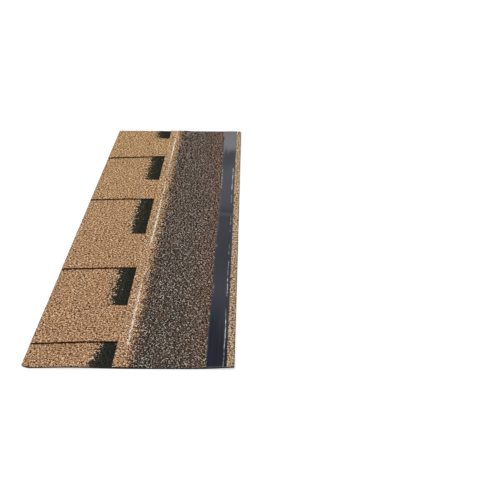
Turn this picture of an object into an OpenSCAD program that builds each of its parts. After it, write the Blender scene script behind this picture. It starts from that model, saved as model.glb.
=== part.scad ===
// Laminated asphalt shingle, lying flat on its back.
// A toothed top sheet is bonded to a backing strip that shows through the cut-outs. Past the strip
// the head part of the top sheet sags to the floor. A release film runs along the head part, and
// dashes of seal bitumen lie under the backing strip.
// X runs from the butt edge to the head edge, Y along the course, Z up from the floor.

/* [Sheet] */
// Length of the shingle along the course
shingle_l = 1000; // [800:1:1200]
// Width of the shingle from the butt edge to the head edge
shingle_w = 333; // [310:1:400]
// Thickness of one asphalt sheet with its granules
sheet_t = 2.6; // [2:0.1:4]

/* [Teeth] */
// Length of the teeth from their roots to their butt edge
tooth_l = 141; // [100:1:155]
// Widths of the teeth at their roots, from the near end
tooth_widths = [102, 129, 99, 117.5]; // [60:0.5:180]
// Widths of the cut-outs before each tooth at their closed ends, from the near end
cutout_widths = [63, 126.5, 161, 141.5]; // [40:0.5:200]
// Distance that the near side of each tooth leans out from its root to its butt edge
near_flares = [6, 7, 6.5, 12.5]; // [0:0.5:20]
// Distance that the far side of each tooth leans out from its root to its butt edge
far_flares = [5, 5, 5, 5]; // [0:0.5:20]

/* [Backing strip] */
// Width of the backing strip from the butt edge
backing_w = 175; // [165:1:200]
// Width of the backing strip that shows past the teeth at the butt edge
backing_reveal = 1; // [0:0.5:5]
// Width of the worn corner across, at the near end of the butt edge
worn_corner_w = 12; // [2:0.5:20]
// Length of the worn corner along the butt edge
worn_corner_l = 6; // [2:0.5:20]

/* [Head part] */
// Width over which the top sheet sags from the backing strip to the floor
sag_run = 30; // [15:1:70]

/* [Release film] */
// Width of the release film
film_w = 32; // [20:1:50]
// Thickness of the release film
film_t = 0.1; // [0.05:0.05:0.5]
// Distance from the film to the head edge
film_margin = 12.5; // [5:0.5:30]

/* [Seal dashes] */
// Width of a seal dash
seal_w = 16; // [8:1:24]
// Height of a seal dash
seal_t = 0.6; // [0.3:0.1:1.5]
// Length of a seal dash with its round ends
seal_l = 80; // [40:1:150]
// Gap between two seal dashes
seal_gap = 20; // [5:1:60]

/* [Hidden] */

$fn = 64;
// Number of straight steps that make up the sagging curve
sag_steps = 16;
// Length by which a cut runs past the faces that it opens
cut_past = 10;

butt_x = -shingle_w / 2;
head_x = shingle_w / 2;
near_y = -shingle_l / 2;

backing_z = seal_t;
top_z = backing_z + sheet_t;
tooth_butt_x = butt_x + backing_reveal;
tooth_root_x = tooth_butt_x + tooth_l;
backing_head_x = butt_x + backing_w;

film_x = head_x - film_margin - film_w / 2;
// Stacked head to butt, each shingle's seal lies on the film of the one below
seal_x = -film_x;
seal_count = floor((shingle_l + seal_gap) / (seal_l + seal_gap));
seal_run = seal_count * (seal_l + seal_gap) - seal_gap;

// Sum of the first n numbers of a list
function sum_first(list, n) = n == 0 ? 0 : list[n - 1] + sum_first(list, n - 1);

// Place along Y where tooth i begins and ends at its root
function tooth_near(i) = near_y + sum_first(cutout_widths, i + 1) + sum_first(tooth_widths, i);
function tooth_far(i) = tooth_near(i) + tooth_widths[i];

// Underside of the top sheet as points of [x, z]: flat on the strip, then half a cosine wave down
// to the floor, then flat to the head edge
underside = concat(
    [[tooth_butt_x, top_z]],
    [for (i = [0:sag_steps]) [backing_head_x + sag_run * i / sag_steps,
                              top_z * (1 + cos(180 * i / sag_steps)) / 2]],
    [[head_x, 0]]);

// Section of the top sheet, its upper face one sheet thickness above its underside
module sheet_section() {
    upper = [for (i = [len(underside) - 1:-1:0]) underside[i] + [0, sheet_t]];
    polygon(concat(underside, upper));
}

// Gap between two teeth in plan, its closed end from near to far at the roots. Its sides lean in by
// the flares of the teeth beside it
module cutout_plan(near, far, near_lean, far_lean) {
    past = 1 + cut_past / tooth_l;
    open_x = tooth_butt_x - cut_past;
    polygon([[tooth_root_x, near], [tooth_root_x, far],
             [open_x, far - far_lean * past], [open_x, near + near_lean * past]]);
}

// Top sheet with its teeth, one piece from butt edge to head edge
module top_layer() {
    last = len(tooth_widths) - 1;
    color("burlywood")
    difference() {
        rotate([90, 0, 0])
            linear_extrude(height = shingle_l, center = true) sheet_section();
        linear_extrude(height = top_z + sheet_t + cut_past) {
            cutout_plan(near_y - cut_past, tooth_near(0), 0, near_flares[0]);
            for (i = [1:last])
                cutout_plan(tooth_far(i - 1), tooth_near(i), far_flares[i - 1], near_flares[i]);
            cutout_plan(tooth_far(last), -near_y + cut_past, far_flares[last], 0);
        }
    }
}

// What wear has taken off a square corner at the origin, down to a quarter of an oval
module corner_wear(w, l) {
    difference() {
        translate([-cut_past, -cut_past]) square([w + cut_past, l + cut_past]);
        translate([w, l]) scale([w, l]) circle(1);
    }
}

// Plain strip under the teeth, bonded to the top sheet
module backing_strip() {
    color("tan")
    translate([butt_x, near_y, backing_z])
        linear_extrude(height = sheet_t)
            difference() {
                square([backing_w, shingle_l]);
                corner_wear(worn_corner_w, worn_corner_l);
            }
}

// Plastic tape that keeps stacked shingles from sticking together
module release_film() {
    color("midnightblue")
    translate([film_x - film_w / 2, near_y, sheet_t])
        cube([film_w, shingle_l, film_t]);
}

// One dash of seal bitumen with round ends, along Y from the origin
module seal_dash() {
    linear_extrude(height = seal_t) {
        translate([-seal_w / 2, seal_w / 2]) square([seal_w, seal_l - seal_w]);
        for (y = [seal_w / 2, seal_l - seal_w / 2])
            translate([0, y]) circle(d = seal_w);
    }
}

// Row of seal dashes under the backing strip
module seal_strip() {
    color("black")
    for (i = [0:seal_count - 1])
        translate([seal_x, -seal_run / 2 + i * (seal_l + seal_gap), 0]) seal_dash();
}

top_layer();
backing_strip();
release_film();
seal_strip();
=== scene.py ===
"""Laminated asphalt shingle: granules, cut edges, release film, seal dashes and a plain studio."""

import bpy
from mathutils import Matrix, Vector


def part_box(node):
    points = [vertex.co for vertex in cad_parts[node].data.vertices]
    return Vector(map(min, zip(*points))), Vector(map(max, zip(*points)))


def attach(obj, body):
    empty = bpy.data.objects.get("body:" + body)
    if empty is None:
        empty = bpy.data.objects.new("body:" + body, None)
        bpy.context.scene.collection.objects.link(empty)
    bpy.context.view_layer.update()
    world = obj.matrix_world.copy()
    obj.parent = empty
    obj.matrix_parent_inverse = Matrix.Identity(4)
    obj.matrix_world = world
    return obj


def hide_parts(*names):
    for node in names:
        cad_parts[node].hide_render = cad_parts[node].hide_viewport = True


bl_info = {
    "name": "Laminated Asphalt Shingle",
    "version": (1, 0, 0),
    "blender": (4, 5, 0),
    "location": "View3D > Sidebar > Shingle",
    "description": "Dresses a laminated asphalt shingle with granules, film, seal and a studio",
    "category": "Object",
}

import math
from collections import namedtuple

import bpy
import numpy as np
from bpy.props import FloatProperty, FloatVectorProperty, PointerProperty
from mathutils import Matrix, Vector

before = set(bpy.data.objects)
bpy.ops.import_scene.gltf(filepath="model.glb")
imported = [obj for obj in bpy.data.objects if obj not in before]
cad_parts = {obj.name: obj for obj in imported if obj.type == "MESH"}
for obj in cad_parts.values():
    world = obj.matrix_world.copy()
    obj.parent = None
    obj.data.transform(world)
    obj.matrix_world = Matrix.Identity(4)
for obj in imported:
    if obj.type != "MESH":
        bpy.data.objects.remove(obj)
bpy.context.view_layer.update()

BODY = "root"
MM = 0.001

# Boxes of the CAD nodes, which give every place along X, Y and Z
TOP_LOW, TOP_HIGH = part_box("top_layer")
STRIP_LOW, STRIP_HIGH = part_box("backing_strip")
FILM_LOW, FILM_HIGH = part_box("release_film")
SEAL_LOW, SEAL_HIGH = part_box("seal_strip")
NEAR_Y = TOP_LOW.y
FAR_Y = TOP_HIGH.y
SHEET_T = STRIP_HIGH.z - STRIP_LOW.z
FILM_T = FILM_HIGH.z - FILM_LOW.z
SEAL_T = SEAL_HIGH.z - SEAL_LOW.z

# Slow waves in the lying shingle: place across and along, height, reach across and along, in mm
WAVES = (
    (-85, -500, 1.7, 50, 130),
    (175, -510, 3.6, 42, 110),
    (-90, 95, 1.2, 42, 60),
    (150, 310, 0.8, 40, 160),
)
# Distance of the stones' middles from cut edges and from the film
RIM = 0.5 * MM
# How far a stone may stray from an even grid, as a share of the pitch
STONE_STRAY = 0.34
# Least and greatest width of a stone, reach of a base corner and height of a peak, as shares of the mean
STONE_WIDTHS = (0.72, 1.22)
CORNER_REACHES = (0.75, 1.2)
PEAK_HEIGHTS = (0.55, 1.35)
# Most that a base corner is turned, that a peak is off its stone's middle, and the spread of a stone's tilt
CORNER_TURN = 0.4
PEAK_SHIFT = 0.45
STONE_TILT = 0.10
# How the tints of a mix of stones vary: spread of single stones, strength of patches, how much stronger
# they get to the far end, width of a patch and of a square with an even mix in mm, how much paler painted
# light makes the far end, and the contrast between stones as the eye sees it, with its growth to the far end
Blend = namedtuple("Blend", "spread strength growth patch square paler contrast contrast_growth",
                   defaults=(1, 0))
TAN_MIX = Blend(spread=1.2, strength=0.55, growth=1.0, patch=2.2, square=5.2, paler=0.07)
HEAD_MIX = Blend(spread=1.05, strength=0.28, growth=1.2, patch=2.0, square=4.7, paler=-0.02,
                 contrast=1.12, contrast_growth=0.6)
# How much more contrast the tan mix has on the selvage and on the nail band, and how much paler it is there
SELVAGE_CONTRAST = 0.7
SELVAGE_PALER = 0.07
BAND_CONTRAST = 0.2
BAND_PALER = 0.04
# Width of the squeezed-out bitumen and painted shade at the foot of each tooth's cut sides, in mm, from the
# tooth at the near end
SQUEEZED_AND_SHADED = (1.0, 1.2, 1.7, 2.3)
# How strongly the nail line is painted at places along the length, in mm from the near end
NAIL_PAINT = (
    (0, 0.05), (50, 0.15), (62, 1.0), (120, 0.9), (190, 1.0), (225, 0.7), (245, 0.1), (270, 0.5),
    (300, 0.15), (370, 0.1), (400, 0.95), (460, 0.9), (515, 1.0), (570, 0.7), (605, 0.25), (640, 0.5),
    (690, 0.15), (760, 0.3), (810, 1.0), (920, 1.0), (945, 0.5), (1000, 0.5),
)
# How far the ragged edge of the shadow bands bends to the head side, in mm by mm from the near end
SHADOW_BENDS = ((0, -8), (25, -2), (58, 5), (70, 0), (400, 0), (450, -2), (600, -1), (930, -1), (960, -4))
# Stretches of the film's long crease: from and to, in mm from the near end, and how high they rise and how
# much painted highlight whitens them
CREASE = (
    (-5, 40, 0.3), (44, 126, 0.95), (131, 158, 0.45), (200, 257, 0.85), (264, 320, 0.35),
    (344, 382, 0.4), (436, 443, 0.3), (465, 502, 0.45), (568, 607, 0.4), (630, 752, 0.95),
)
# Painted glints along the film's inner edge: from and to, in mm from the near end, and how much they whiten
EDGE_GLINTS = ((204, 236, 0.12), (375, 383, 0.14), (420, 610, 0.03), (635, 752, 0.15))
# Slopes of the folds across the film: where each starts from the near end, its length and its rise, in mm
FOLDS = ((480, 25, 0.2), (505, 14, -0.2), (523, 10, 0.2), (535, 80, -0.2))
# Low lengthwise wrinkles of the film: distance from its inner edge, height and half width, in mm
WRINKLES = ((4, 0.10, 1.6), (9, 0.16, 1.2), (14.5, 0.12, 2.0), (20, 0.18, 1.0), (24, 0.10, 1.4))

# Brightness of the studio around the shingle by height above the horizon, in degrees. Its white screen
# ends in a bright rim and a dim gap, with two paler walls and a dark ceiling above, and the film mirrors them
STUDIO = (
    (20.8, 1.0), (21.7, 1.18), (22.2, 1.36), (22.62, 0.38), (23.8, 0.42), (24.8, 0.67), (26.5, 0.64),
    (27.6, 0.49), (31.2, 0.42), (33.7, 0.60), (34.6, 0.48), (35.6, 0.18), (40.0, 0.18),
)
# How much brighter the studio is in blue than in red and green
STUDIO_BLUE = 1.01
# Turn of the soft light from straight overhead
LIGHT_TURN = (math.radians(12), math.radians(-6), 0)
# How far the floor lies below the shingle's underside
FLOOR_DROP = 0.1 * MM

# Sockets of the Mix node for colours: its factor, its two colours and its result
MIX_FACTOR, MIX_FIRST, MIX_SECOND, MIX_RESULT = 0, 6, 7, 2

# The photograph's camera: place, turn and focal length for a picture of 500 by 500 pixels
CAMERA_PLACE = (0.1867, -1.3758, 0.7355)
CAMERA_PITCH = math.radians(30.644)
CAMERA_YAW = math.radians(-0.186)
CAMERA_ROLL = math.radians(0.385)
PICTURE_PX = 500
FOCAL_PX = 723.93
SENSOR_MM = 36.0
# How far the camera sees, in metres
CAMERA_REACH = 50.0


def srgb(red, green, blue):
    """Linear colour of three sRGB numbers from 0 to 255."""
    parts = [value / 255 for value in (red, green, blue)]
    return tuple(p / 12.92 if p <= 0.04045 else ((p + 0.055) / 1.055) ** 2.4 for p in parts)


def sine(degrees):
    """Sine of an angle in degrees."""
    return math.sin(math.radians(degrees))


def length(name, description, default):
    """A length property in metres."""
    return FloatProperty(name=name, description=description, default=default, unit="LENGTH", precision=5)


def lengths(name, description, *defaults):
    """A row of lengths in metres."""
    return FloatVectorProperty(name=name, description=description, default=defaults, size=len(defaults),
                               unit="LENGTH", precision=5)


def colour(name, description, *levels):
    """A colour property whose default is given as sRGB levels."""
    return FloatVectorProperty(name=name, description=description, default=srgb(*levels),
                               subtype="COLOR", size=3, min=0.0, max=1.0)


class ShingleSizes(bpy.types.PropertyGroup):
    """Sizes of the sheets and of the seal dashes."""

    tooth_widths: lengths("Tooth widths", "Widths of the teeth at their roots, from the near end",
                          0.102, 0.129, 0.099, 0.1175)
    cutout_widths: lengths("Cut-out widths", "Widths of the cut-outs before each tooth at their closed ends",
                           0.063, 0.1265, 0.161, 0.1415)
    near_flares: lengths("Near flares", "How far the near side of each tooth leans out at the butt edge",
                         0.006, 0.007, 0.0065, 0.0125)
    far_flares: lengths("Far flares", "How far the far side of each tooth leans out at the butt edge",
                        0.005, 0.005, 0.005, 0.005)
    tooth_length: length("Tooth length", "From the roots to the butt edge of the teeth", 0.141)
    worn_width: length("Worn width", "Width across of the worn corner of the backing strip", 0.013)
    worn_length: length("Worn length", "Length along of the worn corner of the backing strip", 0.006)
    worn_power: FloatProperty(name="Worn roundness", default=1.35, min=1.0, max=2.0,
                              description="1 wears the corner off straight, 2 wears it round")
    sag_run: length("Sag run", "Width over which the top sheet sags to the floor", 0.03)
    pinch_depth: length("Pinch depth", "How far the ends are pressed together where they are doubled", 0.0012)
    pinch_reach: length("Pinch reach", "How far in from the ends they are pressed together", 0.007)
    drag_reach: length("Drag reach", "How far in from the ends the cut sheet is dragged down", 0.0025)
    shadow_edge: length("Shadow edge", "From the butt edge to the ragged edge of the shadow bands", 0.1088)
    nail_line: length("Nail line", "From the butt edge to the painted nail line", 0.1588)
    nail_width: length("Nail line width", "Half width of the painted nail line", 0.0019)
    head_edge: length("Head band edge", "From the butt edge to the ragged edge of the dark band", 0.1695)
    head_drift: length("Head band drift", "How far that edge draws back from end to end", 0.0016)
    dash_length: length("Dash length", "Length of a seal dash with its round ends", 0.08)
    dash_gap: length("Dash gap", "Gap between two seal dashes", 0.02)


class GranuleLook(bpy.types.PropertyGroup):
    """Size and colours of the mineral granules."""

    pitch: length("Pitch", "Mean distance between two granules", 0.00162)
    reach: FloatProperty(name="Reach", description="Half width of a granule as a share of the pitch",
                         default=0.92, min=0.3, max=1.5)
    height: length("Height", "Mean height of a granule above the sheet", 0.00045)
    sink: length("Sink", "Depth of a granule's base below the sheet's face", 0.00014)
    tan_dark: colour("Tan, darkest", "Darkest granules of the tan mix", 54, 23, 5)
    tan_brown: colour("Tan, brown", "Brown granules of the tan mix", 117, 69, 33)
    tan_body: colour("Tan, body", "Commonest granules of the tan mix", 210, 166, 118)
    tan_pale: colour("Tan, pale", "Pale granules of the tan mix", 239, 201, 164)
    tan_cream: colour("Tan, palest", "Palest granules of the tan mix", 255, 236, 209)
    tan_red: colour("Tan, reddish", "Commonest of the redder granules of the tan mix", 212, 154, 108)
    head_black: colour("Head, black", "Darkest granules of the head mix", 27, 23, 18)
    head_slate: colour("Head, slate", "Dark grey granules of the head mix", 60, 53, 44)
    head_grey: colour("Head, grey", "Grey granules of the head mix", 97, 89, 77)
    head_white: colour("Head, palest", "Palest granules of the head mix", 255, 251, 240)
    head_maroon: colour("Head, maroon", "Darkest of the red-brown granules of the head mix", 34, 20, 14)
    head_red: colour("Head, red-brown", "Red-brown granules of the head mix", 110, 78, 61)
    head_clay: colour("Head, clay", "Palest of the red-brown granules of the head mix", 236, 208, 186)
    shadow_black: colour("Shadow, black", "Darkest granules of the shadow mix", 20, 21, 16)
    shadow_grey: colour("Shadow, grey", "Common granules of the shadow mix", 75, 75, 65)
    # Painted light: warmer tones of the light at the far end, which multiply the mixes there
    tan_far_light: colour("Tan, far end", "Tone that multiplies the tan mix at the far end", 255, 250, 227)
    head_far_light: colour("Head, far end", "Tone that multiplies the head mix at the far end", 255, 241, 239)
    paint: colour("Nail paint", "Paint of the nail line", 255, 248, 232)


class FilmLook(bpy.types.PropertyGroup):
    """Look of the release film."""

    body: colour("Film", "Body of the film", 26, 30, 43)
    # Painted highlight: the colour of the crease's painted highlight and of the inner edge's painted glints
    painted_highlight: colour("Stress marks", "Whitened film along the crease and the scuffs", 235, 234, 230)
    crease_inset: length("Crease inset", "From the film's outer edge to its long crease", 0.0048)
    crease_height: length("Crease height", "Height of the long crease", 0.0006)
    crease_width: length("Crease width", "Half width of the long crease", 0.0006)
    # Place and half width of the painted glints along the film's inner edge
    edge_glint_inset: length("Scuff inset", "From the film's inner edge to its scuffs", 0.0016)
    edge_glint_width: length("Scuff width", "Half width of the scuffs", 0.0016)


class EdgeLook(bpy.types.PropertyGroup):
    """Look of the cut edges, the back and the seal."""

    bitumen: colour("Bitumen", "Cut edges of the sheets", 14, 13, 12)
    back_sand: colour("Back sand", "Sand on the back of the sheets", 84, 78, 70)
    back_dark: colour("Back bitumen", "Bitumen between the sand of the back", 34, 31, 28)
    seal: colour("Seal", "Seal bitumen", 14, 13, 12)


class StageLook(bpy.types.PropertyGroup):
    """Floor and light."""

    floor_size: length("Floor size", "Width of the floor", 14.0)
    floor: colour("Floor", "Colour of the floor", 203, 203, 203)
    floor_glow: FloatProperty(name="Floor glow", description="Added to the floor for the eye alone",
                              default=0.5, min=0.0, max=1.0)
    sun_strength: FloatProperty(name="Soft light", description="Strength of the soft overhead light",
                                default=2.0, min=0.0)
    sun_angle: FloatProperty(name="Softness", description="Angle that the overhead light spans",
                             default=math.radians(80), subtype="ANGLE")


def wander(along, step, reach, rng):
    """Ragged line: random heights at even steps along the length, joined by straight lines."""
    knots = np.arange(NEAR_Y - step, FAR_Y + 2 * step, step)
    return np.interp(along, knots, rng.uniform(-reach, reach, len(knots)))


def knots_at(along, table):
    """Value of a table of places, in mm from the near end, at places along Y."""
    places, values = np.array(table, float).T
    return np.interp(along, NEAR_Y + places * MM, values)


def stretches(along, table, soft_end=8):
    """Value of the stretch that each place along Y lies in, or 0 outside all. The places in the table and
    the length of the stretches' soft ends are in mm."""
    from_near = (along - NEAR_Y) / MM
    total = np.zeros(along.shape)
    for low, high, value in table:
        inside = np.minimum(from_near - low, high - from_near)
        total = total + value * np.clip(inside / soft_end + 0.5, 0, 1)
    return total


def half_wave(t):
    """0 below 0, 1 above 1, and half a cosine wave between."""
    return 0.5 - 0.5 * np.cos(np.pi * np.clip(t, 0.0, 1.0))


def sagged(x):
    """Share of its way to the floor that the top sheet has sagged past the backing strip."""
    return half_wave((x - STRIP_HIGH.x) / bpy.context.scene.shingle_sizes.sag_run)


def lift(x, y):
    """Height of the shingle off its flat rest: a sum of bell-shaped waves, less a slow settling from the
    seal dashes, which hold the strip up, to the strip's head side, which rests on the floor."""
    settling = half_wave((x - SEAL_HIGH.x) / (STRIP_HIGH.x - SEAL_HIGH.x)) * (1 - sagged(x))
    total = np.zeros(np.broadcast(x, y).shape) - SEAL_T * settling
    for place_x, place_y, height, reach_x, reach_y in WAVES:
        across = (x - place_x * MM) / (reach_x * MM)
        along = (y - place_y * MM) / (reach_y * MM)
        total = total + height * MM * np.exp(-across ** 2 - along ** 2)
    return total


def strip_bed(x, y):
    """Bed of the backing strip's granules, a granule's height below the strip's face."""
    return STRIP_HIGH.z + lift(x, y) - bpy.context.scene.granule_look.height


def top_underside(x, y):
    """Underside of the top sheet: on the strip, then half a cosine wave down to the floor."""
    return STRIP_HIGH.z * (1 - sagged(x)) + lift(x, y)


def nearness(y, reach):
    """1 at the ends of the shingle, 0 from a reach inwards, and even between."""
    return np.clip(1 - np.minimum(y - NEAR_Y, FAR_Y - y) / reach, 0, 1)


def pinched(x, y):
    """How far the shears have pressed the top sheet together at the ends, where it lies on the strip."""
    sizes = bpy.context.scene.shingle_sizes
    return sizes.pinch_depth * nearness(y, sizes.pinch_reach) ** 2 * (1 - sagged(x))


def dragged(x, y):
    """How far the shears have dragged the top sheet's cut ends down, where it sags beside the strip: all
    the way to the floor at the ends, none a little way in."""
    share = nearness(y, bpy.context.scene.shingle_sizes.drag_reach)
    return SHEET_T * (1 - sagged(x)) * share * (x > STRIP_HIGH.x)


def top_bed(x, y):
    """Bed of the top sheet's granules, a granule's height below its face. It rises under the film."""
    height = bpy.context.scene.granule_look.height
    past_film = 0.1 * MM
    under_film = (x > FILM_LOW.x - past_film) & (x < FILM_HIGH.x + past_film)
    return top_underside(x, y) + SHEET_T - np.where(under_film, 0.0, height) - pinched(x, y)


def root_x():
    """Place across of the teeth's roots."""
    return TOP_LOW.x + bpy.context.scene.shingle_sizes.tooth_length


def tooth_roots():
    """Places along of each tooth's near and far side at its root, from running sums of the widths."""
    sizes = bpy.context.scene.shingle_sizes
    widths = np.stack([sizes.cutout_widths, sizes.tooth_widths], 1).ravel()
    return (NEAR_Y + np.cumsum(widths)).reshape(-1, 2)


def tooth_flares():
    """How far each tooth's near and far side has moved along at the butt edge."""
    sizes = bpy.context.scene.shingle_sizes
    return np.stack([-np.array(sizes.near_flares), np.array(sizes.far_flares)], 1)


def lean(x):
    """Share of its flare that a tooth's side has at a place across: 0 at the roots, 1 at the butt edge."""
    return np.clip((root_x() - x) / bpy.context.scene.shingle_sizes.tooth_length, 0.0, 1.0)


def tooth_sides(x):
    """Places along of every tooth's near and far side at places across."""
    return tooth_roots() + lean(x)[..., None, None] * tooth_flares()


def on_tooth(x, y, margin):
    """Whether places lie on a tooth, by at least a margin inside its leaning sides."""
    sides = tooth_sides(x)
    inside = (y[..., None] > sides[..., 0] + margin) & (y[..., None] < sides[..., 1] - margin)
    return inside.any(-1) & (x < root_x())


def trim_to_ends(x, y):
    """Points pulled back to the shingle's ends, its butt edge and its head edge."""
    return np.clip(x, STRIP_LOW.x, TOP_HIGH.x), np.clip(y, NEAR_Y, FAR_Y)


def trim_to_tooth(x, y):
    """Points pulled back to the cut edges of the nearest tooth."""
    sides = tooth_sides(x)
    nearest = np.abs(sides.mean(-1) - y[..., None]).argmin(-1)
    own = np.take_along_axis(sides, nearest[..., None, None], -2)[..., 0, :]
    return np.maximum(x, TOP_LOW.x), np.clip(y, own[..., 0], own[..., 1])


def trim_to_band(x, y):
    """Points pulled back to the shingle's ends and, between the teeth, to the cut-outs' closed ends."""
    just_inside = root_x() - 0.01 * MM
    by_tooth = on_tooth(np.full(x.shape, just_inside), y, 0.0)
    return np.where(by_tooth, x, np.maximum(x, root_x())), np.clip(y, NEAR_Y, FAR_Y)


def spaced(low, high, step):
    """Even places from low to high, about a step apart."""
    return np.linspace(low, high, max(2, 1 + round((high - low) / step)))


def joined(parts):
    """Runs of places end to end, without doubled ends."""
    return np.unique(np.concatenate(parts).round(7))


def all_cells(grid):
    """Mask that keeps every cell of a grid of points."""
    return np.ones((grid.shape[0] - 1, grid.shape[1] - 1), bool)


def put_mesh(name, points, faces, materials, indices=None):
    """Object from an array of points and an array of faces with equal numbers of corners."""
    mesh = bpy.data.meshes.new(name)
    corners = faces.shape[1]
    mesh.vertices.add(len(points))
    mesh.vertices.foreach_set("co", points.astype(np.float32).ravel())
    mesh.loops.add(faces.size)
    mesh.loops.foreach_set("vertex_index", faces.astype(np.int32).ravel())
    mesh.polygons.add(len(faces))
    mesh.polygons.foreach_set("loop_start", np.arange(0, faces.size, corners, dtype=np.int32))
    for material in materials:
        mesh.materials.append(material)
    if indices is not None:
        mesh.polygons.foreach_set("material_index", indices.astype(np.int32))
    mesh.update(calc_edges=True)
    if mesh.validate():
        raise RuntimeError(f"{name}: the mesh had faults")
    piece = bpy.data.objects.new(name, mesh)
    bpy.context.scene.collection.objects.link(piece)
    return piece


def put_values(piece, name, values):
    """Number for each point of a piece, for its material to read."""
    attribute = piece.data.attributes.new(name, "FLOAT", "POINT")
    attribute.data.foreach_set("value", values.astype(np.float32).ravel())


def put_sheet(name, x, y, low, high, kept, materials):
    """Closed sheet over a grid whose first axis runs across and whose second runs along. It has an upper
    and a lower face on every kept cell, and a wall where a kept cell meets a missing one or the rim.
    Its materials are for the upper faces, the walls and the lower faces."""
    index = np.arange(x.size).reshape(x.shape)
    below = index + x.size
    a, b, c, d = index[:-1, :-1], index[1:, :-1], index[1:, 1:], index[:-1, 1:]
    upper = np.stack([a, b, c, d], -1)[kept]
    lower = upper[:, ::-1] + x.size
    rim = np.pad(kept, 1)
    walls = []
    # Edges that run across lie between a nearer and a farther cell
    nearer, farther = rim[1:-1, :-1], rim[1:-1, 1:]
    one, two = index[:-1, :], index[1:, :]
    quad = np.stack([one, below[:-1, :], below[1:, :], two], -1)
    walls += [quad[farther & ~nearer], quad[nearer & ~farther][:, ::-1]]
    # Edges that run along lie between a cell on the butt side and one on the head side
    butt, head = rim[:-1, 1:-1], rim[1:, 1:-1]
    one, two = index[:, :-1], index[:, 1:]
    quad = np.stack([two, below[:, 1:], below[:, :-1], one], -1)
    walls += [quad[head & ~butt], quad[butt & ~head][:, ::-1]]
    walls = np.concatenate(walls)
    faces = np.concatenate([upper, walls, lower])
    kinds = np.repeat([0, 1, 2], [len(upper), len(walls), len(lower)])
    points = np.concatenate([np.stack([x, y, high], -1).reshape(-1, 3),
                             np.stack([x, y, low], -1).reshape(-1, 3)])
    used, faces = np.unique(faces, return_inverse=True)
    piece = put_mesh(name, points[used], faces.reshape(-1, 4), materials, kinds)
    return piece, used


def finished(piece, slot, *nodes):
    """Rides the piece on the shingle and hides the CAD nodes that it stands for. The slot, its finish, is not
    used.
    """
    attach(piece, BODY)
    if nodes:
        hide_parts(*nodes)
    return piece


def new_material(name, roughness=0.5, specular=0.5):
    """Node material with its main shader's constant values set."""
    material = bpy.data.materials.new(name)
    material.use_nodes = True
    tree = material.node_tree
    shader = tree.nodes["Principled BSDF"]
    shader.inputs["Roughness"].default_value = roughness
    shader.inputs["Specular IOR Level"].default_value = specular
    return material, tree, shader


def object_noise(tree, scale, detail=3.0, stretch=(1.0, 1.0, 1.0)):
    """Noise on Object coordinates, stretched by a Mapping node. Returns its value socket."""
    coordinates = tree.nodes.new("ShaderNodeTexCoord")
    mapping = tree.nodes.new("ShaderNodeMapping")
    mapping.inputs["Scale"].default_value = stretch
    noise = tree.nodes.new("ShaderNodeTexNoise")
    noise.inputs["Scale"].default_value = scale
    noise.inputs["Detail"].default_value = detail
    tree.links.new(coordinates.outputs["Object"], mapping.inputs["Vector"])
    tree.links.new(mapping.outputs["Vector"], noise.inputs["Vector"])
    return noise.outputs["Fac"]


def object_place(tree, axis):
    """Value socket of the place along one axis of the Object coordinates."""
    coordinates = tree.nodes.new("ShaderNodeTexCoord")
    parts = tree.nodes.new("ShaderNodeSeparateXYZ")
    tree.links.new(coordinates.outputs["Object"], parts.inputs["Vector"])
    return parts.outputs[axis]


def attribute_value(tree, name):
    """Value socket of a piece's own attribute."""
    node = tree.nodes.new("ShaderNodeAttribute")
    node.attribute_name = name
    return node.outputs["Fac"]


def ramp(tree, value, stops):
    """Colour ramp through stops of a place and a linear colour. Returns its colour socket."""
    node = tree.nodes.new("ShaderNodeValToRGB")
    elements = node.color_ramp.elements
    while len(elements) < len(stops):
        elements.new(0.5)
    for element, (place, shade) in zip(elements, stops):
        element.position = place
        element.color = (*shade, 1.0)
    tree.links.new(value, node.inputs["Fac"])
    return node.outputs["Color"]


def span(tree, value, source, target):
    """Value mapped from one span to another and held at its ends."""
    node = tree.nodes.new("ShaderNodeMapRange")
    for socket, number in zip(("From Min", "From Max", "To Min", "To Max"), (*source, *target)):
        node.inputs[socket].default_value = number
    tree.links.new(value, node.inputs["Value"])
    return node.outputs["Result"]


def mix(tree, factor, first, second, blend="MIX"):
    """Two colours mixed by a factor. Each is a socket, a number or a linear colour."""
    node = tree.nodes.new("ShaderNodeMix")
    node.data_type = "RGBA"
    node.blend_type = blend
    for place, value in ((MIX_FACTOR, factor), (MIX_FIRST, first), (MIX_SECOND, second)):
        socket = node.inputs[place]
        if isinstance(value, bpy.types.NodeSocket):
            tree.links.new(value, socket)
        elif isinstance(value, (int, float)):
            socket.default_value = value
        else:
            socket.default_value = (*value, 1.0)
    return node.outputs[MIX_RESULT]


def multiplied(tree, first, second):
    """Product of two colours."""
    return mix(tree, 1.0, first, second, "MULTIPLY")


def bumped(tree, shader, height, strength, distance):
    """Bump from a height socket on the main shader."""
    node = tree.nodes.new("ShaderNodeBump")
    node.inputs["Strength"].default_value = strength
    node.inputs["Distance"].default_value = distance
    tree.links.new(height, node.inputs["Height"])
    tree.links.new(node.outputs["Normal"], shader.inputs["Normal"])


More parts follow.
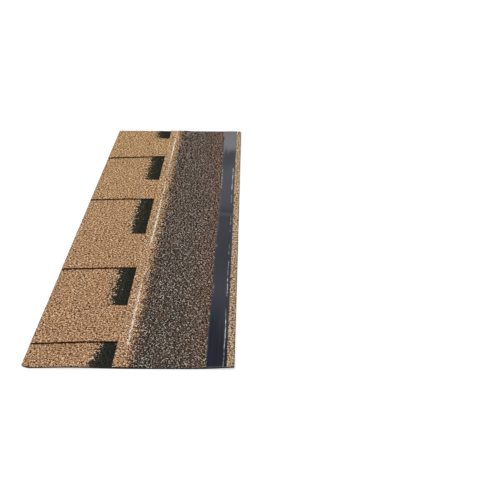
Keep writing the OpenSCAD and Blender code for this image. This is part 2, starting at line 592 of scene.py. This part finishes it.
def granule_material(name, far_light_tone, stops, warm_stops=None, paint=None):
    """Ceramic-coated stones: each stone's own tint picks its colour, slow noise mottles the whole, and its
    tone changes evenly from the near end to the far end, with painted light that turns warmer at the far end."""
    material, tree, shader = new_material(name, roughness=0.85, specular=0.1)
    tint = attribute_value(tree, "tint")
    shade = ramp(tree, tint, stops)
    if warm_stops is not None:
        shade = mix(tree, attribute_value(tree, "warm"), shade, ramp(tree, tint, warm_stops))
    mottle = object_noise(tree, scale=34.0)
    shade = multiplied(tree, shade, span(tree, mottle, (0.3, 0.7), (0.92, 1.08)))
    # Painted light: the colours take on the warmer tone of the light at the far end
    far = span(tree, object_place(tree, "Y"), (NEAR_Y, FAR_Y), (0.0, 1.0))
    shade = mix(tree, far, shade, multiplied(tree, shade, far_light_tone))
    if paint is not None:
        shade = mix(tree, attribute_value(tree, "paint"), shade, paint)
    tree.links.new(shade, shader.inputs["Base Color"])
    return material


def bed_material(name, edge, butt_side, head_side):
    """Bitumen dusted with fines, which shows between the granules. Its colour changes at an edge across."""
    material, tree, shader = new_material(name, roughness=0.9, specular=0.2)
    soft = 7 * MM
    side = span(tree, object_place(tree, "X"), (edge - soft, edge + soft), (0.0, 1.0))
    grain = object_noise(tree, scale=1400.0, detail=2.0)
    shade = mix(tree, side, butt_side, head_side)
    shade = multiplied(tree, shade, span(tree, grain, (0.35, 0.65), (0.5, 1.3)))
    tree.links.new(shade, shader.inputs["Base Color"])
    bumped(tree, shader, grain, strength=0.4, distance=0.4 * MM)
    return material


def edge_material():
    """Cut bitumen, matt black with torn specks."""
    dark = Vector(bpy.context.scene.edge_look.bitumen)
    material, tree, shader = new_material("cut_bitumen", roughness=0.7, specular=0.3)
    torn = object_noise(tree, scale=900.0, detail=4.0)
    shade = ramp(tree, torn, [(0.45, dark), (0.75, dark * 2.0)])
    tree.links.new(shade, shader.inputs["Base Color"])
    bumped(tree, shader, torn, strength=0.6, distance=0.6 * MM)
    return material


def back_material():
    """Back of a sheet: fine sand pressed into bitumen."""
    look = bpy.context.scene.edge_look
    material, tree, shader = new_material("sanded_back", roughness=0.88, specular=0.2)
    sand = object_noise(tree, scale=1700.0, detail=2.0)
    worn = object_noise(tree, scale=22.0, detail=4.0)
    shade = ramp(tree, sand, [(0.4, look.back_dark), (0.6, look.back_sand)])
    shade = multiplied(tree, shade, span(tree, worn, (0.3, 0.7), (0.75, 1.15)))
    tree.links.new(shade, shader.inputs["Base Color"])
    bumped(tree, shader, sand, strength=0.5, distance=0.5 * MM)
    return material


def film_material():
    """Glossy film with lengthwise streaks, whitened by a painted highlight along its crease and by painted
    glints along its inner edge.
    """
    look = bpy.context.scene.film_look
    material, tree, shader = new_material("film_gloss")
    streaks = object_noise(tree, scale=1.0, stretch=(520.0, 5.0, 1.0))
    body = Vector(look.body)
    shade = ramp(tree, streaks, [(0.3, body * 0.7), (0.7, body * 1.4)])
    shade = mix(tree, attribute_value(tree, "highlight_share"), shade, look.painted_highlight)
    tree.links.new(shade, shader.inputs["Base Color"])
    tree.links.new(span(tree, streaks, (0.3, 0.7), (0.02, 0.05)), shader.inputs["Roughness"])
    bumped(tree, shader, streaks, strength=0.25, distance=0.2 * MM)
    return material


def seal_material():
    """Soft bitumen, black and slightly glossy."""
    dark = Vector(bpy.context.scene.edge_look.seal)
    material, tree, shader = new_material("seal_bitumen", roughness=0.42)
    skin = object_noise(tree, scale=160.0, detail=4.0)
    shade = ramp(tree, skin, [(0.3, dark * 0.6), (0.7, dark * 1.8)])
    tree.links.new(shade, shader.inputs["Base Color"])
    bumped(tree, shader, skin, strength=0.4, distance=0.4 * MM)
    return material


def shared(name, make):
    """A material by its name, made the first time that it is asked for."""
    return bpy.data.materials.get(name) or make()


def sheet_materials(bed):
    """Materials of a sheet's upper faces, walls and lower faces."""
    return [bed, shared("cut_bitumen", edge_material), shared("sanded_back", back_material)]


def scatter(low, high, rng):
    """Places for granules over a rectangle: a hexagonal grid with each place moved a little at random."""
    pitch = bpy.context.scene.granule_look.pitch
    across = np.arange(low[0], high[0], pitch * math.sqrt(0.75))
    along = np.arange(low[1], high[1], pitch)
    odd = (np.arange(len(across)) % 2)[:, None]
    x = np.broadcast_to(across[:, None], (len(across), len(along)))
    y = along[None, :] + odd * pitch / 2
    move = rng.uniform(-STONE_STRAY, STONE_STRAY, (2, *x.shape)) * pitch
    return (x + move[0]).ravel(), (y + move[1]).ravel()


def clumps(x, y, step, rng):
    """Patchiness from -1 to 1: random values on a square grid of a step, joined evenly between."""
    i, j = (x - STRIP_LOW.x) / step + 1, (y - NEAR_Y) / step + 1
    low_i, low_j = np.floor(i).astype(int), np.floor(j).astype(int)
    part_i, part_j = i - low_i, j - low_j
    values = rng.uniform(-1, 1, (low_i.max() + 2, low_j.max() + 2))
    near = values[low_i, low_j] * (1 - part_i) + values[low_i + 1, low_j] * part_i
    far = values[low_i, low_j + 1] * (1 - part_i) + values[low_i + 1, low_j + 1] * part_i
    return near * (1 - part_j) + far * part_j


def ragged(x, y, reach, rng):
    """Random distances by which stones of two mixes stray across the line where the mixes meet: small
    patches of them by up to a reach, and each stone by a normal spread of its own."""
    return reach * clumps(x, y, step=2.2 * MM, rng=rng) + rng.normal(scale=3.9 * MM, size=len(x))


def evened(values, x, y, step):
    """Values less the mean of those in the same square of a step, so that no square is darker than the
    next one."""
    row = np.floor((x - STRIP_LOW.x) / step).astype(int) + 1
    column = np.floor((y - NEAR_Y) / step).astype(int) + 1
    square = row * (column.max() + 1) + column
    mean = np.bincount(square, values) / np.maximum(np.bincount(square), 1)
    return values - mean[square]


def brightness(shade):
    """Brightness of a linear colour as the eye sees it: a weighted sum of its parts, to a power."""
    red, green, blue = shade
    eye_power = 1 / 2.2
    return (0.2126 * red + 0.7152 * green + 0.0722 * blue) ** eye_power


def tints(x, y, blend, rng, stops=None):
    """Random tints from 0, dark, to 1, pale: single stones and small patches, stronger to the far end, vary
    about a half, evened out in small squares, and painted light turns the mix paler towards the far end.
    Where the colours of the mix are given, the tints are evened out again by how bright their stones look,
    and the contrast between them grows to the far end."""
    share = (y - NEAR_Y) / (FAR_Y - NEAR_Y)
    square = blend.square * MM
    patches = blend.strength * (1 + blend.growth * share) * clumps(x, y, blend.patch * MM, rng)
    single = blend.spread * rng.uniform(-0.5, 0.5, len(x))
    tint = np.clip(0.5 + evened(single + patches, x, y, square), 0, 1)
    if stops is not None:
        places = np.array([place for place, _ in stops])
        levels = np.array([brightness(shade) for _, shade in stops])
        seen = np.interp(tint, places, levels)
        contrast = blend.contrast + blend.contrast_growth * share
        tint = np.interp(evened(seen, x, y, square) * contrast + seen.mean(), levels, places)
    # Painted light: the mix turns paler towards the far end, or darker where the blend's paler share is below
    # 0
    return np.clip(tint + blend.paler * (share - 0.5), 0, 1)


def put_granules(name, where, x, y, face, trim, stones, slot, rng, **values):
    """Crushed stones in one mesh, at the places where a mask holds. Each is an irregular four-sided pyramid
    on a face: four base corners at random turns and reaches, sunk into the sheet, and a peak off its
    middle, all tilted at random. Stones on a cut edge are cut flush with it.
    Every stone has a cell of its own in the map, so that a baked colour stays with its stone, and carries
    its own values for its material to read."""
    look = bpy.context.scene.granule_look
    x, y = x[where], y[where]
    count = len(x)
    reach = look.pitch * look.reach * rng.uniform(*STONE_WIDTHS, count)
    turn = rng.uniform(0, 2 * np.pi, (count, 1)) + np.pi / 2 * np.arange(4)
    turn = turn + rng.uniform(-CORNER_TURN, CORNER_TURN, (count, 4))
    out = reach[:, None] * rng.uniform(*CORNER_REACHES, (count, 4))
    peak = reach[:, None] * rng.uniform(-PEAK_SHIFT, PEAK_SHIFT, (count, 2))
    dx = np.concatenate([out * np.cos(turn), peak[:, :1]], 1)
    dy = np.concatenate([out * np.sin(turn), peak[:, 1:]], 1)
    tall = look.height * rng.uniform(*PEAK_HEIGHTS, (count, 1))
    tilt = rng.normal(0.0, STONE_TILT, (2, count, 1))
    dz = np.concatenate([np.full((count, 4), -look.sink), tall], 1) + tilt[0] * dx + tilt[1] * dy
    place_x, place_y = trim(x[:, None] + dx, y[:, None] + dy)
    points = np.stack([place_x, place_y, face(x, y)[:, None] + dz], -1)
    corners = points.shape[1]
    stone = np.array([[0, 1, 4], [1, 2, 4], [2, 3, 4], [3, 0, 4], [2, 1, 0], [3, 2, 0]])
    faces = (corners * np.arange(count)[:, None, None] + stone).reshape(-1, 3)
    piece = put_mesh(name, points.reshape(-1, 3), faces, [bpy.data.materials[stones]])
    side = math.ceil(math.sqrt(count))
    cell = np.stack([np.arange(count) % side, np.arange(count) // side], -1)[:, None, :]
    low, high = 0.2, 0.8
    in_cell = np.array([[low, low], [high, low], [high, high], [low, high], [0.5, 0.5]])
    places = ((cell + in_cell) / side).reshape(-1, 2)
    layer = piece.data.uv_layers.new(name="OFBake")
    layer.uv.foreach_set("vector", places[faces.ravel()].astype(np.float32).ravel())
    for value, numbers in values.items():
        put_values(piece, value, np.repeat(numbers[where], corners))
    return finished(piece, slot)


def tan_stops(body):
    """Colours of the tan mix from the darkest to the palest stone, about a body colour and its shade."""
    look = bpy.context.scene.granule_look
    shaded = Vector(body) * 0.72
    return [(0.0, look.tan_dark), (0.14, look.tan_brown), (0.28, shaded), (0.6, body),
            (0.85, look.tan_pale), (1.0, look.tan_cream)]


def head_stops():
    """Colours of the head mix's grey stones from the darkest to the palest."""
    look = bpy.context.scene.granule_look
    return [(0.0, look.head_black), (0.45, look.head_slate), (0.8, look.head_grey), (1.0, look.head_white)]


def red_stops():
    """Colours of the head mix's red-brown stones from the darkest to the palest."""
    look = bpy.context.scene.granule_look
    return [(0.0, look.head_maroon), (0.68, look.head_red), (1.0, look.head_clay)]


def shadow_stops():
    """Colours of the shadow mix from the darkest to the palest stone, almost all of them black."""
    look = bpy.context.scene.granule_look
    return [(0.0, look.shadow_black), (0.95, look.shadow_grey), (1.0, look.tan_cream)]


def tan_tints(x, y, band, selvage, rng):
    """Tints of the tan mix on the top sheet. The nail band and the selvage are a little paler, and the
    contrast between their stones grows to the far end."""
    growth = 1 + y / (FAR_Y - NEAR_Y)
    contrast = 1 + growth * (SELVAGE_CONTRAST * selvage + BAND_CONTRAST * band)
    paler = SELVAGE_PALER * selvage + BAND_PALER * band
    return 0.5 + contrast * (tints(x, y, TAN_MIX, rng) - 0.5) + paler


def head_tints(x, y, edge, rng):
    """Tints of the head mix, darkest beside its edge, with a few of its stones sparkling white."""
    edge_reach = 24 * MM
    darker = 0.05
    darker_at_edge = 0.045
    sparkling = 0.02
    margin = darker + darker_at_edge * (1 - half_wave((x - edge) / edge_reach))
    tint = tints(x, y, HEAD_MIX, rng, head_stops()) - margin
    return np.where(rng.uniform(0, 1, len(x)) < sparkling, 1.0, tint)


def redness(x, y, rng):
    """Share of red in the top sheet's mixes: it grows towards the film, and varies by patches."""
    start = 0.27
    by_film = 0.45
    by_patch = 0.22
    film_reach = 60 * MM
    to_film = half_wave((x - FILM_LOW.x) / film_reach + 1)
    return start + by_film * to_film + by_patch * clumps(x, y, step=12 * MM, rng=rng)


def painted(x, y, rng):
    """Which stones the nail line is painted on: a flat-topped bell across the line, times the strength of
    the paint along it, against chance."""
    sizes = bpy.context.scene.shingle_sizes
    line = STRIP_LOW.x + sizes.nail_line + wander(y, step=40 * MM, reach=0.5 * MM, rng=rng)
    coat = np.exp(-((x - line) / sizes.nail_width) ** 6) * knots_at(y, NAIL_PAINT)
    patchy = 1 + wander(y, step=6 * MM, reach=0.35, rng=rng)
    thinnest = 0.05
    return coat * patchy > rng.uniform(thinnest, 1.0, len(x))


class SHINGLE_OT_top_sheet(bpy.types.Operator):
    """Make the toothed top sheet with its waves and cut edges"""

    bl_idname = "shingle.top_sheet"
    bl_label = "Top Sheet"

    def execute(self, context):
        sizes = context.scene.shingle_sizes
        root = root_x()
        sag_end = STRIP_HIGH.x + sizes.sag_run
        beside_strip = STRIP_HIGH.x + 0.3 * MM
        step = 6 * MM
        sag_step = 4 * MM
        across = joined([spaced(TOP_LOW.x, root, step), spaced(root, STRIP_HIGH.x, step), [beside_strip],
                         spaced(STRIP_HIGH.x, sag_end, sag_step), spaced(sag_end, FILM_LOW.x - RIM, step),
                         spaced(FILM_LOW.x, FILM_HIGH.x, step), spaced(FILM_HIGH.x + RIM, TOP_HIGH.x, step)])
        sides = np.concatenate([[NEAR_Y], tooth_roots().ravel(), [FAR_Y]])
        dragged_in = np.array([1, 2]) * sizes.drag_reach
        along = joined([NEAR_Y + dragged_in, FAR_Y - dragged_in]
                       + [spaced(low, high, step=8 * MM) for low, high in zip(sides[:-1], sides[1:])])
        flares = np.concatenate([[0], tooth_flares().ravel(), [0]])
        x, y = np.meshgrid(across, along, indexing="ij")
        y = y + lean(x) * np.interp(along, sides, flares)
        middle_x = (x[:-1, :-1] + x[1:, 1:]) / 2
        middle_y = (y[:-1, :-1] + y[:-1, 1:] + y[1:, :-1] + y[1:, 1:]) / 4
        kept = (middle_x > root) | on_tooth(middle_x, middle_y, 0.0)
        look = context.scene.granule_look
        bed = bed_material("top_bed", STRIP_LOW.x + sizes.head_edge, look.tan_brown, look.head_slate)
        piece, _ = put_sheet("top_sheet", x, y, top_underside(x, y) - dragged(x, y), top_bed(x, y), kept,
                             sheet_materials(bed))
        finished(piece, "top_granules", "top_layer")
        return {"FINISHED"}


class SHINGLE_OT_backing(bpy.types.Operator):
    """Make the backing strip with its worn corner"""

    bl_idname = "shingle.backing"
    bl_label = "Backing Strip"

    def execute(self, context):
        sizes = context.scene.shingle_sizes
        look = context.scene.granule_look
        # The grid's rows follow the worn corner, and are even again from four times its length
        reach = 4 * sizes.worn_length
        corner = STRIP_LOW.x + sizes.worn_width * (1 - np.cos(np.linspace(0, np.pi / 2, num=8)))
        across = joined([corner, spaced(corner[-1], STRIP_HIGH.x, step=7 * MM)])
        along = joined([spaced(NEAR_Y, NEAR_Y + reach, step=4 * MM),
                        spaced(NEAR_Y + reach, FAR_Y, step=8 * MM)])
        x, y = np.meshgrid(across, along, indexing="ij")
        gap = np.clip(1 - (x - STRIP_LOW.x) / sizes.worn_width, 0, 1)
        wear = sizes.worn_length * (1 - (1 - gap ** sizes.worn_power) ** (1 / sizes.worn_power))
        y = y + wear * (1 - np.clip((y - NEAR_Y) / reach, 0, 1)) ** 2
        bed = bed_material("backing_bed", STRIP_LOW.x + sizes.shadow_edge, look.tan_brown, look.shadow_black)
        piece, _ = put_sheet("backing_sheet", x, y, STRIP_LOW.z + lift(x, y), strip_bed(x, y),
                             all_cells(x), sheet_materials(bed))
        finished(piece, "backing_granules", "backing_strip")
        return {"FINISHED"}


class SHINGLE_OT_granules(bpy.types.Operator):
    """Scatter the mineral granules over both sheets, one piece for each mix"""

    bl_idname = "shingle.granules"
    bl_label = "Granules"

    def execute(self, context):
        look = context.scene.granule_look
        tan = tan_stops(look.tan_body), tan_stops(look.tan_red)
        granule_material("tan_stones", look.tan_far_light, *tan)
        granule_material("nail_band_stones", look.tan_far_light, *tan, look.paint)
        granule_material("head_stones", look.head_far_light, head_stops(), red_stops())
        granule_material("shadow_stones", look.tan_far_light, shadow_stops())
        self.on_top_sheet(context)
        self.on_backing(context)
        return {"FINISHED"}

    def on_top_sheet(self, context):
        """Tan teeth, nail band and selvage, and the dark head band in two pieces."""
        sizes = context.scene.shingle_sizes
        rng = np.random.default_rng(seed=11)
        x, y = scatter((TOP_LOW.x + RIM, NEAR_Y + RIM), (TOP_HIGH.x - RIM, FAR_Y - RIM), rng)
        edge = STRIP_LOW.x + sizes.head_edge + sizes.head_drift * y / (FAR_Y - NEAR_Y)
        halfway = (STRIP_LOW.x + sizes.head_edge + FILM_LOW.x) / 2
        edge = edge + wander(y, step=9 * MM, reach=2.2 * MM, rng=rng)
        dark = x + ragged(x, y, reach=11 * MM, rng=rng) > edge
        # No dark stone strays to the cut-outs, and no tan one far into the head part
        dark_from = root_x() + 8 * MM
        tan_to = STRIP_LOW.x + 200 * MM
        teeth = on_tooth(x, y, RIM)
        band = (x > root_x() + RIM) & (x < tan_to) & ~dark
        head = (x > dark_from) & (x < FILM_LOW.x - RIM) & dark & ~teeth
        selvage = x > FILM_HIGH.x + RIM
        tan_tint = tan_tints(x, y, band, selvage, rng)
        tint = np.where(head, head_tints(x, y, edge, rng), tan_tint)
        # Half of a head stone's red is its own, and the selvage's stones lack a share of theirs
        red = redness(x, y, rng)
        own_red = rng.uniform(0, 1, len(x)) < red
        lacking = 0.6
        warm = np.where(head, (red + own_red) / 2, red * (1 - lacking * selvage))
        paint = painted(x, y, rng)
        for name, where, trim, stones in (
                ("teeth_granules", teeth, trim_to_tooth, "tan_stones"),
                ("nail_band_granules", band, trim_to_band, "nail_band_stones"),
                ("head_granules_inner", head & (x < halfway), trim_to_ends, "head_stones"),
                ("head_granules_outer", head & (x >= halfway), trim_to_ends, "head_stones"),
                ("selvage_granules", selvage, trim_to_ends, "tan_stones")):
            put_granules(name, where, x, y, top_bed, trim, stones, "top_granules", rng,
                         tint=tint, warm=warm, paint=paint)

    def on_backing(self, context):
        """Tan granules in the cut-outs, and the black shadow band at their closed ends."""
        sizes = context.scene.shingle_sizes
        rng = np.random.default_rng(seed=12)
        x, y = scatter((STRIP_LOW.x + RIM, NEAR_Y + RIM), (root_x() + RIM, FAR_Y - RIM), rng)
        gap_x = np.clip(1 - (x - RIM - STRIP_LOW.x) / sizes.worn_width, 0, None)
        gap_y = np.clip(1 - (y - RIM - NEAR_Y) / sizes.worn_length, 0, None)
        unworn = gap_x ** sizes.worn_power + gap_y ** sizes.worn_power < 1
        under_tooth = 1.5 * MM
        shown = ~on_tooth(x, y, under_tooth) & unworn
        edge = STRIP_LOW.x + sizes.shadow_edge + knots_at(y, SHADOW_BENDS) * MM
        edge = edge + wander(y, step=7 * MM, reach=3 * MM, rng=rng)
        black = x + ragged(x, y, reach=9 * MM, rng=rng) > edge
        tint = tints(x, y, TAN_MIX, rng)
        # A share of the tan stones that stray among the black ones are the palest
        palest_share = 0.28
        stray_reach = 3 * MM
        palest = (x > edge - stray_reach) & (rng.uniform(0, 1, len(x)) < palest_share)
        # A very few of the black mix are pale, and painted shade darkens the rest towards the closed ends,
        # where the top sheet's edge shades them
        pale_share = 0.001
        pale_tint = 0.972
        pale = rng.uniform(0, 1, len(x)) < pale_share
        shade_reach = 20 * MM
        depth = np.clip((root_x() - x) / shade_reach, 0.6, 0.95)
        tint = np.where(black, np.where(pale, pale_tint, depth * tint), np.where(palest, 1.0, tint))
        # Squeezed-out bitumen and painted shade at the foot of the teeth's cut sides blacken the stones there
        shade_and_bitumen = 0.2
        tint = np.where(on_tooth(x, y, -np.array(SQUEEZED_AND_SHADED) * MM), shade_and_bitumen * tint, tint)
        warm = np.clip(0.25 + 0.3 * clumps(x, y, step=14 * MM, rng=rng), 0, 1)
        for name, where, stones in (("cutout_granules", shown & ~black, "tan_stones"),
                                    ("shadow_granules", shown & black, "shadow_stones")):
            put_granules(name, where, x, y, strip_bed, trim_to_ends, stones, "backing_granules", rng,
                         tint=tint, warm=warm)


class SHINGLE_OT_film(bpy.types.Operator):
    """Lay the release film along the head part"""

    bl_idname = "shingle.film"
    bl_label = "Release Film"

    def execute(self, context):
        look = context.scene.film_look
        rng = np.random.default_rng(seed=13)
        crease = FILM_HIGH.x - look.crease_inset
        fine = 1.8 * MM
        across = joined([spaced(FILM_LOW.x, crease - fine, step=0.75 * MM),
                         spaced(crease - fine, crease + fine, step=0.36 * MM),
                         spaced(crease + fine, FILM_HIGH.x, step=0.75 * MM)])
        along = spaced(NEAR_Y, FAR_Y, step=2.5 * MM)
        x, y = np.meshgrid(across, along, indexing="ij")
        relief = np.zeros(x.shape)
        for inset, height, width in WRINKLES:
            middle = FILM_LOW.x + inset * MM + wander(along, step=120 * MM, reach=1.5 * MM, rng=rng)
            swell = 0.5 + wander(along, step=60 * MM, reach=0.5, rng=rng)
            relief += swell * height * MM * np.exp(-((x - middle) / (width * MM)) ** 2)
        for start, run, rise in FOLDS:
            relief += rise * MM * half_wave(((along - NEAR_Y) / MM - start) / run)
        middle = crease + wander(along, step=25 * MM, reach=0.6 * MM, rng=rng)
        beads = np.clip(0.8 + wander(along, step=5 * MM, reach=0.8, rng=rng), 0.05, 1)
        ridge = np.exp(-((x - middle) / look.crease_width) ** 2) * (stretches(along, CREASE) * beads)
        relief += look.crease_height * ridge
        sheet = top_bed(x, y) + relief
        film = shared("film_gloss", film_material)
        piece, used = put_sheet("release_film_sheet", x, y, sheet, sheet + FILM_T, all_cells(x),
                                [film, shared("cut_bitumen", edge_material), film])
        # Painted highlight along the crease and painted glints along the inner edge, as the share of the
        # film's colour that turns white
        from_edge_glints = x - FILM_LOW.x - look.edge_glint_inset
        edge_glint = np.exp(-(from_edge_glints / look.edge_glint_width) ** 2) * stretches(along, EDGE_GLINTS)
        flecks = np.clip(1 + wander(along, step=3 * MM, reach=2.2, rng=rng), 0, None)
        white = np.clip(ridge + edge_glint * flecks, 0, 1)
        put_values(piece, "highlight_share", np.concatenate([white.ravel()] * 2)[used])
        piece.data.shade_smooth()
        finished(piece, "release_film", "release_film")
        return {"FINISHED"}


class SHINGLE_OT_seal(bpy.types.Operator):
    """Make the row of domed seal dashes under the backing strip"""

    bl_idname = "shingle.seal"
    bl_label = "Seal Dashes"

    def execute(self, context):
        dash = context.scene.shingle_sizes.dash_length
        gap = context.scene.shingle_sizes.dash_gap
        count = round((SEAL_HIGH.y - SEAL_LOW.y + gap) / (dash + gap))
        half = (SEAL_HIGH.x - SEAL_LOW.x) / 2
        middle = (SEAL_HIGH.x + SEAL_LOW.x) / 2
        steps = dash * half_wave(np.linspace(0, 1, num=29))
        along = (SEAL_LOW.y + np.arange(count)[:, None] * (dash + gap) + steps).ravel()
        run = np.tile(steps, count)
        end = np.clip(1 - np.minimum(run, dash - run) / half, 0, 1)
        # Share of the width that stays at the very ends, and of the height that stays at the rim
        blunt = 0.12
        rim = 0.15
        plan = np.maximum(np.sqrt(1 - end ** 2), blunt)
        share = np.linspace(-1, 1, num=13)[:, None]
        x = middle + half * share * plan
        y = np.broadcast_to(along, x.shape)
        dome = np.sqrt(np.clip(1 - share ** 2, 0, 1)) * plan
        high = SEAL_HIGH.z + lift(x, y)
        low = high - SEAL_T * (rim + (1 - rim) * dome)
        kept = all_cells(x)
        kept[:, len(steps) - 1::len(steps)] = False
        seal = shared("seal_bitumen", seal_material)
        piece, _ = put_sheet("seal_dashes", x, y, low, high, kept, [seal] * 3)
        finished(piece, "seal_bitumen", "seal_strip")
        return {"FINISHED"}


class SHINGLE_OT_stage(bpy.types.Operator):
    """Set the floor, the soft light and the photograph's camera"""

    bl_idname = "shingle.stage"
    bl_label = "Stage"

    def execute(self, context):
        self.floor(context)
        self.light(context)
        self.camera(context)
        context.scene.view_settings.view_transform = "Standard"
        return {"FINISHED"}

    def floor(self, context):
        """White floor just under the shingle, with a glow that only the eye and mirrors see."""
        look = context.scene.stage_look
        half = look.floor_size / 2
        points = np.array([[-half, -half, 0], [half, -half, 0], [half, half, 0], [-half, half, 0]])
        points[:, 2] = -FLOOR_DROP
        material, tree, shader = new_material("studio_floor", roughness=1.0, specular=0.0)
        shader.inputs["Base Color"].default_value = (*look.floor, 1.0)
        path = tree.nodes.new("ShaderNodeLightPath")
        seen = tree.nodes.new("ShaderNodeMath")
        seen.operation = "MAXIMUM"
        tree.links.new(path.outputs["Is Camera Ray"], seen.inputs[0])
        tree.links.new(path.outputs["Is Glossy Ray"], seen.inputs[1])
        glow = tree.nodes.new("ShaderNodeMath")
        glow.operation = "MULTIPLY"
        glow.inputs[1].default_value = look.floor_glow
        tree.links.new(seen.outputs["Value"], glow.inputs[0])
        shader.inputs["Emission Color"].default_value = (1.0, 1.0, 1.0, 1.0)
        tree.links.new(glow.outputs["Value"], shader.inputs["Emission Strength"])
        put_mesh("floor", points, np.array([[0, 1, 2, 3]]), [material])

    def light(self, context):
        """Soft overhead light, and a studio that is white near the horizon and dim above it."""
        look = context.scene.stage_look
        sun = bpy.data.lights.new("soft_light", "SUN")
        sun.energy = look.sun_strength
        sun.angle = look.sun_angle
        lamp = bpy.data.objects.new("soft_light", sun)
        lamp.rotation_euler = LIGHT_TURN
        context.scene.collection.objects.link(lamp)
        world = context.scene.world or bpy.data.worlds.new("studio")
        context.scene.world = world
        world.use_nodes = True
        tree = world.node_tree
        way = tree.nodes.new("ShaderNodeTexCoord")
        parts = tree.nodes.new("ShaderNodeSeparateXYZ")
        tree.links.new(way.outputs["Generated"], parts.inputs["Vector"])
        stops = [(sine(height), (level, level, level * STUDIO_BLUE)) for height, level in STUDIO]
        tree.links.new(ramp(tree, parts.outputs["Z"], stops), tree.nodes["Background"].inputs["Color"])
        tree.nodes["Background"].inputs["Strength"].default_value = 1.0

    def camera(self, context):
        """Camera at the photograph's place: looks along +Y, pitched down, turned and rolled."""
        turn = Matrix.Rotation(CAMERA_YAW, 3, "Z")
        forward = turn @ Vector((0, math.cos(CAMERA_PITCH), -math.sin(CAMERA_PITCH)))
        up = turn @ Vector((0, math.sin(CAMERA_PITCH), math.cos(CAMERA_PITCH)))
        right = turn @ Vector((1, 0, 0))
        roll = math.cos(CAMERA_ROLL), math.sin(CAMERA_ROLL)
        axes = (roll[0] * right + roll[1] * up, roll[0] * up - roll[1] * right, -forward)
        data = bpy.data.cameras.new("photo_camera")
        data.sensor_width = SENSOR_MM
        data.lens = SENSOR_MM * FOCAL_PX / PICTURE_PX
        data.clip_end = CAMERA_REACH
        camera = bpy.data.objects.new("photo_camera", data)
        camera.matrix_world = Matrix.Translation(CAMERA_PLACE) @ Matrix(axes).transposed().to_4x4()
        context.scene.collection.objects.link(camera)
        context.scene.camera = camera


PROPERTY_GROUPS = {
    "shingle_sizes": ShingleSizes,
    "granule_look": GranuleLook,
    "film_look": FilmLook,
    "edge_look": EdgeLook,
    "stage_look": StageLook,
}
OPERATORS = (SHINGLE_OT_stage, SHINGLE_OT_top_sheet, SHINGLE_OT_backing, SHINGLE_OT_granules,
             SHINGLE_OT_film, SHINGLE_OT_seal)


class SHINGLE_PT_panel(bpy.types.Panel):
    """Steps and values of the shingle"""

    bl_idname = "SHINGLE_PT_panel"
    bl_label = "Laminated Shingle"
    bl_space_type = "VIEW_3D"
    bl_region_type = "UI"
    bl_category = "Shingle"

    def draw(self, context):
        for operator in OPERATORS:
            self.layout.operator(operator.bl_idname)
        for name, group in PROPERTY_GROUPS.items():
            box = self.layout.box()
            for value in group.__annotations__:
                box.prop(getattr(context.scene, name), value)


def register():
    """Registers the classes and hangs the property groups on the scene."""
    for part in (*PROPERTY_GROUPS.values(), *OPERATORS, SHINGLE_PT_panel):
        bpy.utils.register_class(part)
    for name, group in PROPERTY_GROUPS.items():
        setattr(bpy.types.Scene, name, PointerProperty(type=group))


def unregister():
    """Takes the property groups and the classes away again."""
    for name in PROPERTY_GROUPS:
        delattr(bpy.types.Scene, name)
    for part in (SHINGLE_PT_panel, *reversed(OPERATORS), *PROPERTY_GROUPS.values()):
        bpy.utils.unregister_class(part)


def main():
    """Builds the stage and every piece."""
    register()
    bpy.ops.shingle.stage()
    bpy.ops.shingle.top_sheet()
    bpy.ops.shingle.backing()
    bpy.ops.shingle.granules()
    bpy.ops.shingle.film()
    bpy.ops.shingle.seal()


if __name__ == "__main__":
    main()
